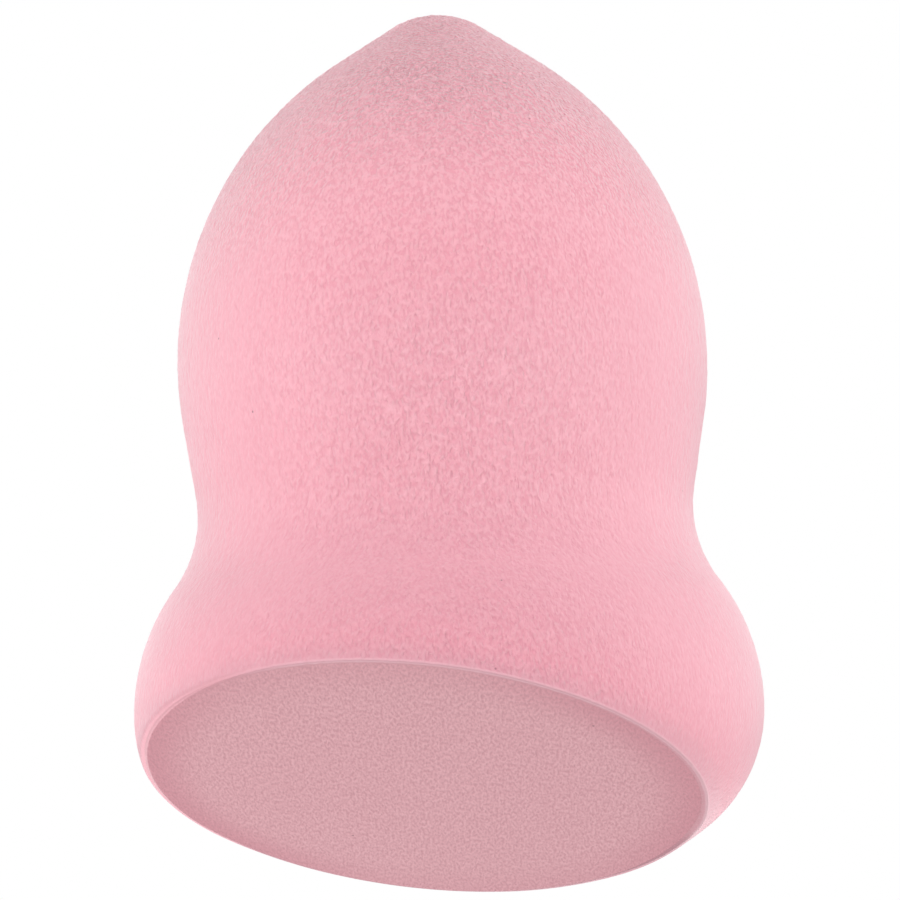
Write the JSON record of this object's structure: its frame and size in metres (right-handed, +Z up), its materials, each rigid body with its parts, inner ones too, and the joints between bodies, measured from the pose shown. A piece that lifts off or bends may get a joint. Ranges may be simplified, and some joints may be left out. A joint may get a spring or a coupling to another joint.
{
  "type": "makeup sponge",
  "caption": "Soft foam gourd with a rounded point, a waist and a slanting flat base, for dabbing and blending make-up.",
  "frame": {"origin": "where the gourd's own axis meets the flat cut face, on the plane that the sponge stands on", "axes": "+Z up from the cut face; the gourd's axis leans 26.3 degrees from +Z towards -Y, and X = 0 is its mirror plane"},
  "size_m": [0.0418, 0.0488, 0.0503],
  "materials": {
    "open_foam": "matt, fine open-cell foam, cut flat",
    "moulded_foam_skin": "soft satin moulded foam skin with a fine pebbled grain"
  },
  "bodies": {
    "root": {"foam_core": "open_foam", "moulded_skin": "moulded_foam_skin"}
  },
  "joints": []
}
